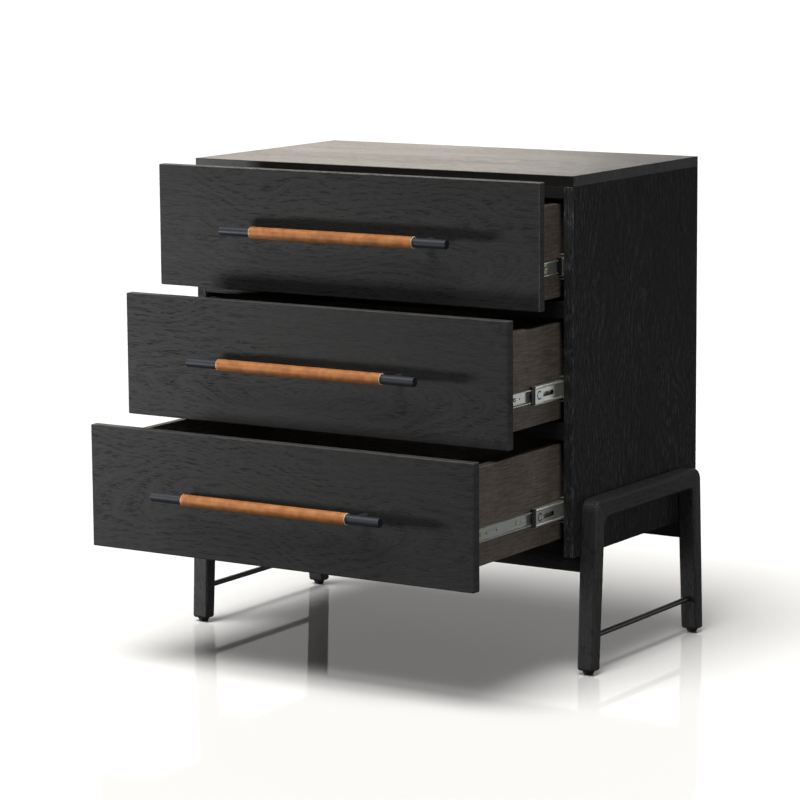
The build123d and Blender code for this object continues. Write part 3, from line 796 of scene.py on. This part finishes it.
for seed, drawer in enumerate(drawers):
    y, z = bar_y[drawer], handle_z[drawer]
    piece = sleeve(f"{drawer}_leather_sleeve", y, z, 5.0 * seed)
    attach(piece, f"{drawer}_drawer")
    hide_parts(f"{drawer}_handle_sleeve")
print("sleeve faces", len(piece.data.polygons))

# %% [markdown]
# The seam is closed with a waxed thread. A stitch is a short bead of thread across the valley,
# leaning a little, one every five millimetres. It is a tiny turned spindle, laid on its side.

# %% Stitches
stitch_radius, stitch_pitch = 9.92, 5
slant = Vector((0.45, sin(seam), cos(seam))).normalized()
spindle = turned(in_metres([(0, -1.15), (0.16, -1.0), (0.26, -0.4), (0.26, 0.4), (0.16, 1.0),
                            (0, 1.15)]), 7)
for drawer in drawers:
    y = bar_y[drawer] - stitch_radius * cos(seam)
    z = handle_z[drawer] + stitch_radius * sin(seam)
    places = [((x * mm, y * mm, z * mm), slant, 1.0) for x in range(-158, 160, stitch_pitch)]
    stitches = set_out(f"{drawer}_sleeve_stitches", places, spindle, thread, spin=0.6, seed=4)
    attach(stitches, f"{drawer}_drawer")

# %% [markdown]
# A telescopic slide is three channels, one inside the next. A retainer of moulded black nylon
# closes the inner one and shows just ahead of the middle channel when the drawer is open. It is
# a stepped block with a C-shaped section, so two short extrusions with softened edges make it.

# %% Slide retainers
middle_front = {"bottom": -125.0, "middle": -127.0, "top": -38.0}   # front end of each middle channel


def retainer(front, z, side):
    """The two steps of one retainer, in front of a channel and just inside it."""
    shells = []
    for start, end, half, outer in ((front - 8, front - 4.5, 12.7, 358.1),
                                    (front - 5, front + 6, 14.3, 358.5)):
        section = [(352.5, 11.3), (352.5, half), (outer, half), (outer, -half), (352.5, -half),
                   (352.5, -11.3), (357.1, -11.3), (357.1, 11.3)]
        section = [(x * mm, (z + up) * mm) for x, up in section]
        shells.append(extruded(section, start * mm, end * mm, side))
    return shells


print("retainer steps", len(retainer(middle_front["top"], slide_z["top"], 1)))

# %% [markdown]
# The channels roll on two pairs of rows of small steel balls, which a thin strip of cage holds
# apart. A ball here has few faces, because there are hundreds and each is about three
# millimetres across. The inner rows sit behind the stretch that the retainer sweeps, so that
# the two never meet, wherever the drawer stands.

# %% Ball rows
ball = turned([(0, -1.0), (0.5, -0.866), (0.866, -0.5), (1.0, 0), (0.866, 0.5), (0.5, 0.866), (0, 1.0)], 8)
ball_pitch, cage_half = 8, 0.2


def ball_row(x, z, wide, radius, start, end, side):
    """A strip of cage, and the places of the balls that it holds."""
    strip = [(x - wide, z - cage_half), (x + wide, z - cage_half),
             (x + wide, z + cage_half), (x - wide, z + cage_half)]
    cage = extruded([(a * mm, b * mm) for a, b in strip], start * mm, end * mm, side)
    places = [((side * x * mm, (start + 4 + ball_pitch * i) * mm, z * mm), (0, 0, 1), radius * mm)
              for i in range(int((end - start) // ball_pitch))]
    return cage, places


print("ball", len(ball[1]), "faces")

# %% [markdown]
# The middle channel is stiffened with a rolled bead along each edge, and three quarters of a
# ring are pressed into its face near the front end. The bead is an extruded half-round; the
# ring is a small square section carried round an arc and closed at both ends. The ring stands just proud
# and is painted dark: painted shade for the pressed groove.

# %% Beads and pressed marks
channel_face = 360.0


def bead(x, z, start, end, side):
    """A rolled stiffening bead: a low half-round along Y."""
    section = [(x, z - 1.7), (x + 0.35, z - 1.25), (x + 0.62, z - 0.5), (x + 0.62, z + 0.5),
               (x + 0.35, z + 1.25), (x, z + 1.7), (x - 0.3, z + 1.2), (x - 0.3, z - 1.2)]
    return extruded([(a * mm, b * mm) for a, b in section], start * mm, end * mm, side)


def pressed_ring_shade(front, z, side):
    """Most of a ring, standing just proud of the channel's face and painted dark as painted shade."""
    angles = [radians(a) for a in range(40, 321, 20)]
    square = ((5.6, -0.2), (5.6, 0.22), (7.4, 0.22), (7.4, -0.2))
    verts = [(side * (channel_face + lift) * mm, (front + 13 + r * cos(a)) * mm, (z + r * sin(a)) * mm)
             for a in angles for r, lift in square]
    faces = [(4 * i + k, 4 * i + (k + 1) % 4, 4 * i + 4 + (k + 1) % 4, 4 * i + 4 + k)
             for i in range(len(angles) - 1) for k in range(4)]
    faces += [(0, 1, 2, 3), tuple(4 * (len(angles) - 1) + k for k in (3, 2, 1, 0))]
    return verts, faces


print("pressed mark", len(pressed_ring_shade(0, 0, 1)[1]), "faces")

# %% [markdown]
# Now each pair of slides is fitted out. The retainers travel with the drawer; everything else
# travels with the middle channels. The left side is the right one mirrored, so the helpers take
# a side of -1 or 1, and the faces are turned outward after that.

# %% Fit out the slides
least_gap = 2          # a drawer front never comes closer than this to its middle channels
retainer_room = 16     # the retainer itself, and a little air behind it
for drawer in drawers:
    front, z = middle_front[drawer], slide_z[drawer]
    swept = front + (front - front_back[drawer] - least_gap) + retainer_room
    rows = ((355.0, 12.8, 1.7, 1.45, swept, swept + 70), (357.2, 17.8, 2.2, 1.8, front + 288, front + 392))
    retainers, beads, cages, marks, balls = [], [], [], [], []
    for side in (-1, 1):
        retainers += retainer(front, z, side)
        marks.append(pressed_ring_shade(front, z, side))
        for up in (-1, 1):
            beads.append(bead(channel_face, z + up * 12.6, front + 1.5, front + 396, side))
            for x, tall, wide, radius, start, end in rows:
                cage, places = ball_row(x, z + up * tall, wide, radius, start, end, side)
                cages.append(cage)
                balls += places
    piece = build(f"{drawer}_slide_retainers", retainers, nylon, smooth=False, bevel=0.4 * mm)
    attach(piece, f"{drawer}_drawer")
    # The pressed rings take a dark finish: painted shade for the groove.
    for name, shells, material in (("slide_beads", beads, zinc), ("ball_cages", cages, zinc),
                                   ("pressed_marks", marks, pressed_ring_shade_paint)):
        piece = build(f"{drawer}_{name}", shells, material, smooth=name == "slide_beads")
        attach(piece, f"{drawer}_slides")
    rolling = set_out(f"{drawer}_slide_balls", balls, ball, ball_steel)
    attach(rolling, f"{drawer}_slides")

# %% [markdown]
# The feet are tapered rubber pads on a threaded stud. The rim at the floor is rounded, a thin
# waist shows as a dark line under the leg, and two shallow grooves give fingers a grip when the
# foot is screwed up or down.

# %% Feet
foot_x, foot_y = (-0.39725, 0.39725), (-0.0158, 0.3568)
profile = [(0, 0), (6.6, 0), (7.3, 0.12), (7.75, 0.5), (8.0, 1.1), (8.45, 2.1), (8.3, 2.3),
           (8.35, 2.5), (8.75, 2.8), (9.3, 4.2), (9.15, 4.4), (9.2, 4.6), (9.6, 4.9), (10.2, 6.4),
           (10.15, 6.6), (9.7, 6.7), (8.2, 6.75), (8.2, 7.18), (0, 7.2)]
pad = turned(in_metres(profile), 48)
places = [((x, y, 0.0), (0, 0, 1), 1.0) for x in foot_x for y in foot_y]
feet = set_out("grooved_feet", places, pad, rubber, spin=0.3, seed=2)
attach(feet, "cabinet")
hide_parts("levelling_feet")
